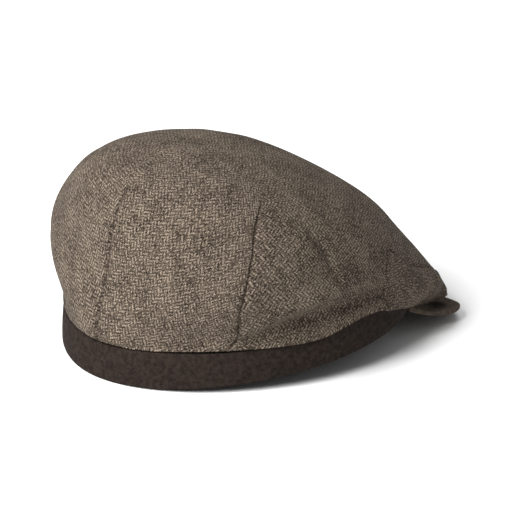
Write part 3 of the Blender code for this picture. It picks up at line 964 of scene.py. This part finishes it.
def band_section(top):
    """Each row's distance outwards and height: a quarter circle at each corner, and a few steps up the
    outer face after the first one, bulging like half a sine wave."""
    r = BAND_CORNER
    corners = ((-r, r + 0 * top), (-r, top - r), (r - BAND_WALL, top - r), (r - BAND_WALL, r + 0 * top))
    rows = []
    for k, (out, height) in enumerate(corners):
        for turn in np.linspace(k - 1, k, 5) * math.pi / 2:
            rows.append((out + r * math.cos(turn), height + r * math.sin(turn)))
        if k == 0:
            rows += [(BAND_BULGE * math.sin(math.pi * s), mix(r, top - r, s)) for s in BAND_FACE_STEPS]
    return rows


print("the band's section has", len(band_section(BAND_HEIGHT)), "points")

# %% Band mesh
def build_band():
    """The section carried along the oval. It leans in a little at the back, by a share of the height,
    and waves by two sines of the angle. The last row of cells joins the first."""
    angle = np.linspace(0, 2 * math.pi, BAND_AROUND, endpoint=False)
    top = mix(BAND_HEIGHT - 1.0 * MM, BAND_FRONT_HEIGHT, smooth(np.cos(angle), 0.2, 0.85))
    top += np.maximum(hem_sway(angle), 0)
    wave = 0.15 * MM * np.sin(5 * angle + 1.0) + 0.12 * MM * np.sin(9 * angle + 2.5)
    slope = BAND_LEAN / BAND_HEIGHT * smooth(-np.cos(angle), 0.2, 0.75)
    rows = [np.stack([*oval(angle, out - slope * z + wave * smooth(z, 0, 6 * MM)), z], axis=-1)
            for out, z in band_section(top)]
    points = np.stack(rows)
    points[..., 2] -= np.minimum(set_down(points)[..., 2], 0)
    points = points.reshape(-1, 3)
    return add_piece("band_cloth", "band", points,
                     grid_quads(len(rows) + 1, BAND_AROUND, closed=True) % len(points))


band = build_band()

# %% [markdown]
# ## Peak
#
# The peak is a stiff board covered in the band's wool. Two faces over one plan meet in a rounded edge,
# and a fine bound line runs just inside that edge on top, where the cover's seam lies.

# %% Closing a plate
def plate_faces(rows, columns):
    """The under face, the upper face, and four strips that join them along their edges."""
    count = rows * columns
    under = grid_quads(rows, columns, closed=False)
    i = np.arange(columns - 1)
    back = np.stack([i, i + count, i + 1 + count, i + 1], axis=-1)
    i = i + count - columns
    front = np.stack([i, i + 1, i + 1 + count, i + count], axis=-1)
    j = np.arange(rows - 1) * columns
    left = np.stack([j, j + columns, j + columns + count, j + count], axis=-1)
    j = j + columns - 1
    right = np.stack([j, j + count, j + columns + count, j + columns], axis=-1)
    return np.concatenate([under, under[:, ::-1] + count, back, front, left, right])


# %% Peak mesh
PEAK_ACROSS = 120
PEAK_FORWARD = 40
PEAK_SEAM_INSET = 4.2 * MM
PEAK_GROOVE = 0.35 * MM


def build_peak():
    """Across by the sine of a half turn, forwards crowded at the edge. Near its edge the plate's
    thickness follows a half circle, and a shallow groove marks the bound seam."""
    side = np.sin(np.linspace(-math.pi / 2, math.pi / 2, PEAK_ACROSS))[None, :]
    share = np.sin(np.linspace(0, math.pi / 2, PEAK_FORWARD))[:, None]
    y = side * 0.985 * PEAK_HALF_WIDTH + 0 * share
    root, front = peak_root_x(y), peak_front_x(y)
    x = mix(root, front, share)
    half = PEAK_THICK / 2
    middle = np.stack([x, y, peak_top_z(x, y) - half], axis=-1)
    to_side = (1 - np.abs(side)) * PEAK_HALF_WIDTH * 1.6
    edge = np.minimum((1 - share) * (front - root), to_side)
    thick = half * np.sqrt(np.clip(1 - (1 - np.clip(edge / half, 0, 1)) ** 2, 0.0, 1))
    top, bottom = middle.copy(), middle.copy()
    top[..., 2] += thick - PEAK_GROOVE * bump(edge - PEAK_SEAM_INSET, 0.8 * MM)
    bottom[..., 2] -= thick
    bottom[..., 2] -= np.minimum(set_down(bottom)[..., 2], 0)
    points = np.concatenate([bottom.reshape(-1, 3), top.reshape(-1, 3)])
    return add_piece("peak_cover", "peak", points, plate_faces(*x.shape))


peak = build_peak()

# %% [markdown]
# ## Writing materials as arithmetic
#
# A woven pattern is arithmetic on a position: divide by the width of a stripe, take the whole part,
# and so on. Written as nodes that is hard to read, so one small class wraps a socket and turns Python's
# operators into Math nodes. A second one adds any other node.

# %% Wire
class Wire:
    """An output socket that can be added, multiplied and compared like a number."""

    def __init__(self, paint, socket):
        self.paint = paint
        self.socket = socket

    def maths(self, operation, *others):
        values = [self] + list(others)
        found = self.paint.node("ShaderNodeMath", {"operation": operation}, dict(enumerate(values)))
        return Wire(self.paint, found.outputs[0])

    def __add__(self, other):
        return self.maths("ADD", other)

    __radd__ = __add__

    def __sub__(self, other):
        return self.maths("SUBTRACT", other)

    def __rsub__(self, other):
        return (self * -1.0) + other

    def __mul__(self, other):
        return self.maths("MULTIPLY", other)

    __rmul__ = __mul__

    def __truediv__(self, other):
        return self.maths("DIVIDE", other)

    def __rtruediv__(self, other):
        return (self ** -1.0) * other

    def __mod__(self, other):
        return self.maths("FLOORED_MODULO", other)

    def __pow__(self, other):
        """Powers 2 and 4 are made by squaring, because a node's power of a negative number fails."""
        if other == 2:
            return self * self
        return (self ** 2) ** 2 if other == 4 else self.maths("POWER", other)

    def __lt__(self, other):
        """1 where the value is smaller, 0 elsewhere."""
        return self.maths("LESS_THAN", other)

    def floor(self):
        return self.maths("FLOOR")

    def ramp(self, start, end):
        """0 at start, 1 at end, smooth between."""
        found = self.paint.node("ShaderNodeMapRange", {"interpolation_type": "SMOOTHSTEP"},
                                {"Value": self, "From Min": start, "From Max": end})
        return Wire(self.paint, found.outputs["Result"])


# %% Paint
class Paint:
    """A material with one Principled shader, and a method that adds any node."""

    def __init__(self, name):
        self.material = bpy.data.materials.new(name)
        self.material.use_nodes = True
        self.tree = self.material.node_tree
        self.shader = self.tree.nodes["Principled BSDF"]

    def plug(self, socket, value):
        if isinstance(value, Wire):
            self.tree.links.new(value.socket, socket)
        else:
            socket.default_value = value

    def node(self, kind, settings=None, inputs=None):
        made = self.tree.nodes.new(kind)
        for key, value in (settings or {}).items():
            setattr(made, key, value)
        for key, value in (inputs or {}).items():
            self.plug(made.inputs[key], value)
        return made

    def wire(self, kind, settings=None, inputs=None, output=0):
        return Wire(self, self.node(kind, settings, inputs).outputs[output])

    def noise(self, place, scale, detail=2.0, roughness=0.5):
        inputs = {"Vector": place, "Scale": scale, "Detail": detail, "Roughness": roughness}
        return self.wire("ShaderNodeTexNoise", {}, inputs)

    def blend(self, share, first, second):
        """One colour turning into another."""
        found = self.node("ShaderNodeMix", {"data_type": "RGBA"}, {"Factor": share})
        self.plug(found.inputs[6], first)
        self.plug(found.inputs[7], second)
        return Wire(self, found.outputs[2])

    def finish(self, colour, height=None, bump_depth=0.2 * MM, strength=1.0, **constants):
        self.plug(self.shader.inputs["Base Color"], colour)
        for name, value in constants.items():
            self.plug(self.shader.inputs[name.replace("_", " ").title().replace("Ior", "IOR")], value)
        if height is not None:
            inputs = {"Height": height, "Distance": bump_depth, "Strength": strength}
            self.plug(self.shader.inputs["Normal"], self.wire("ShaderNodeBump", {}, inputs))
        return self.material


def colour(red, green, blue):
    """A colour given as a screen shows it, from 0 to 255, turned into the light it stands for."""
    linear = [((v / 255 + 0.055) / 1.055) ** 2.4 if v > 10 else v / 255 / 12.92 for v in (red, green, blue)]
    return (*linear, 1.0)


print("a grey of 128 on a screen is", round(colour(128, 128, 128)[0], 3), "of white's light")

# %% [markdown]
# ## Herringbone tweed
#
# In a two and two twill every warp thread lies over two weft threads and then under two, one step
# further on than its neighbour, and that draws slanting lines. Herringbone turns the step round after
# every four threads and jumps by two where it turns, so the slant breaks into a zigzag with a cut
# spine. Counting threads across and along the flat cloth gives two whole numbers, and from them comes
# which thread is on top. The warp here is pale and the weft is dark. Each visible piece of thread gets
# its own brightness, because tweed yarn is spun from fibres of many shades. Specks smaller than a
# thread, single fibres and large patches shift it again, so that no two threads look alike.

# %% Weave
THREAD = 0.6 * MM


def weave(paint, across, along):
    """With thread i across, thread j along and stripe k = i / 4: the step d is i mod 4, or 5 less that
    on every second stripe, and the warp is on top where j + d, modulo 4, is below 2."""
    column, row = across / THREAD, along / THREAD
    i, j = column.floor(), row.floor()
    stripe = (i / 4).floor()
    odd = stripe % 2
    m = i - 4 * stripe
    d = m + odd * (5 - 2 * m)
    turn = ((j + d) / 4).floor()
    s = j + d - 4 * turn
    warp = s < 1.5
    beside, ahead = column - i, row - j
    warp_round = 1 - (2 * beside - 1) ** 2
    warp_end = 1 - (s + ahead - 1) ** 4
    weft_round = 1 - (2 * ahead - 1) ** 2
    weft_place = (s - 2) * (1 - odd) + (3 - s) * odd + beside
    weft_end = 1 - (weft_place - 1) ** 4
    rise = warp * warp_round * warp_end + (1 - warp) * weft_round * weft_end
    cell = paint.wire("ShaderNodeCombineXYZ", {}, {0: j + warp * (i - j), 1: turn, 2: stripe * 2 + warp})
    chance = paint.wire("ShaderNodeTexWhiteNoise", {"noise_dimensions": "3D"}, {"Vector": cell})
    return warp, rise, chance


print("a stripe of the herringbone is", round(4 * THREAD / MM, 2), "mm wide")

# %% Tweed
WARP_DARK, WARP_PALE = colour(42, 35, 28), colour(144, 131, 117)
WEFT_DARK, WEFT_PALE = colour(25, 19, 15), colour(94, 82, 70)
THREAD_SHADE = 0.45
SEAM_SHADE = 0.35
INSIDE_SHADE = 0.35


def tweed(name):
    """Flat cloth, pulled a little askew by slow and quick noise, gives thread counts. Their tone picks a
    colour between a dark and a pale one, and the sides of threads, seams and the inside are shaded."""
    paint = Paint(name)
    flat = paint.wire("ShaderNodeUVMap", {"uv_map": "cloth"})
    drift = paint.noise(flat, 140.0, 1.0)
    shake = paint.noise(flat, 900.0, 1.0)
    fibre = paint.noise(flat, 3800.0, 2.0, 0.6)
    patches = paint.noise(flat, 60.0, 3.0, 0.6)
    specks = paint.noise(flat, 1350.0, 2.0, 0.7)
    split = paint.node("ShaderNodeSeparateXYZ", inputs={0: flat})
    along = Wire(paint, split.outputs[0]) + (drift - 0.5) * (1.2 * MM) + (shake - 0.5) * (0.25 * MM)
    across = Wire(paint, split.outputs[1]) + (fibre - 0.5) * (0.25 * MM) + (shake - 0.5) * (0.25 * MM)
    warp, rise, chance = weave(paint, across, along)
    tone = 0.2 + 0.6 * chance + 2.8 * (specks - 0.5) + 0.8 * (fibre - 0.5) + 0.7 * (patches - 0.5)
    tone = tone.ramp(0.0, 1.0)
    pale = paint.blend(tone, WARP_DARK, WARP_PALE)
    dark = paint.blend(tone, WEFT_DARK, WEFT_PALE)
    shown = paint.blend(warp, dark, pale)
    shown = paint.blend(THREAD_SHADE * (1 - rise), shown, WEFT_DARK)
    seam = paint.wire("ShaderNodeAttribute", {"attribute_name": "seam"}, output=2)
    inside = paint.wire("ShaderNodeAttribute", {"attribute_name": "inside"}, output=2)
    shown = paint.blend(seam * SEAM_SHADE, shown, WEFT_DARK)
    shown = paint.blend(inside * INSIDE_SHADE, shown, WEFT_DARK)
    height = rise + (fibre - 0.5) * 0.6
    return paint.finish(shown, height, bump_depth=0.2 * MM, strength=0.7, roughness=0.92,
                        specular_ior_level=0.1, sheen_weight=0.04, sheen_roughness=0.5, sheen_tint=WARP_PALE)


crown_tweed = tweed("crown tweed")
crown.data.materials.append(crown_tweed)
yoke.data.materials.append(crown_tweed)
print("the tweed takes", len(crown_tweed.node_tree.nodes), "nodes, with a thread every", THREAD / MM, "mm")

# %% [markdown]
# ## Felted wool
#
# The band and peak are a dense dark wool whose weave is milled away. What is left is a soft mottle and a fine
# nap, so two noises of different sizes set the colour and a finer one gives the nap its height. Both pieces
# are the same wool, but the band's colours are set darker as painted shade and the peak's lighter as painted
# light.

# %% Dark wool
def dark_wool(name, deep, pale):
    """Mottle and nap mix the two colours, and slow clouds darken the mix again."""
    paint = Paint(name)
    place = paint.wire("ShaderNodeTexCoord", output=3)
    mottle = paint.noise(place, 420.0, 3.0, 0.6)
    nap = paint.noise(place, 1900.0, 3.0, 0.65)
    clouds = paint.noise(place, 30.0, 2.0)
    shown = paint.blend(mottle.ramp(0.3, 0.7) * 0.6 + nap.ramp(0.35, 0.7) * 0.4, deep, pale)
    shown = paint.blend(clouds * 0.3, shown, deep)
    height = nap + mottle * 0.5
    return paint.finish(shown, height, bump_depth=0.25 * MM, strength=0.7, roughness=0.95,
                        specular_ior_level=0.08, sheen_weight=0.06, sheen_roughness=0.5, sheen_tint=pale)


# painted shade: the band's colours are darker than the same wool on the peak
band.data.materials.append(dark_wool("band wool with painted shade", colour(22, 17, 15), colour(51, 43, 38)))
# painted light: the peak's colours are lighter than the same wool on the band
peak.data.materials.append(dark_wool("peak wool with painted light", colour(52, 44, 38), colour(100, 89, 79)))
print("wool on:", band.name, "and", peak.name)

# %% [markdown]
# ## Floor and light
#
# A pale floor fills the picture behind the cap. One large soft lamp from behind the wearer, to the left
# of the camera, shows the cap's form. A weak one from above the front brightens the top and the front
# edge, and an even sky fills in the shaded side.

# %% Floor
FLOOR_REACH = 6.0
FLOOR_WHITE = 0.93


def add_floor():
    mesh = bpy.data.meshes.new("floor")
    corners = [(x * FLOOR_REACH, y * FLOOR_REACH, 0) for x, y in ((-1, -1), (1, -1), (1, 1), (-1, 1))]
    mesh.from_pydata(corners, [], [(0, 1, 2, 3)])
    floor = bpy.data.objects.new("floor", mesh)
    bpy.context.scene.collection.objects.link(floor)
    paint = Paint("floor paint")
    white = (FLOOR_WHITE, FLOOR_WHITE, FLOOR_WHITE, 1)
    mesh.materials.append(paint.finish(white, roughness=0.9, specular_ior_level=0.0))
    print("the floor is", 2 * FLOOR_REACH, "m wide")


add_floor()

# %% Lights
KEY_POWER = 132.0
TOP_POWER = 22.0
LAMP_SIZE = 1.6
SKY_STRENGTH = 0.3


def add_light(name, place, power):
    """A round soft lamp that looks at the middle of the cap."""
    data = bpy.data.lights.new(name, "AREA")
    data.shape = "DISK"
    data.size = LAMP_SIZE
    data.energy = power
    lamp = bpy.data.objects.new(name, data)
    bpy.context.scene.collection.objects.link(lamp)
    lamp.location = place
    lamp.rotation_euler = (Vector((0, 0, 0.05)) - Vector(place)).to_track_quat("-Z", "Y").to_euler()
    print(name, "light is", round(Vector(place).length, 2), "m away, with", power, "W")


add_light("key", (-2.0, -0.05, 1.5), KEY_POWER)
add_light("top", (1.2, 0.8, 2.0), TOP_POWER)
world = bpy.data.worlds.new("sky")
world.use_nodes = True
world.node_tree.nodes["Background"].inputs["Color"].default_value = (1, 1, 1, 1)
world.node_tree.nodes["Background"].inputs["Strength"].default_value = SKY_STRENGTH
bpy.context.scene.world = world
bpy.context.scene.view_settings.view_transform = "Standard"
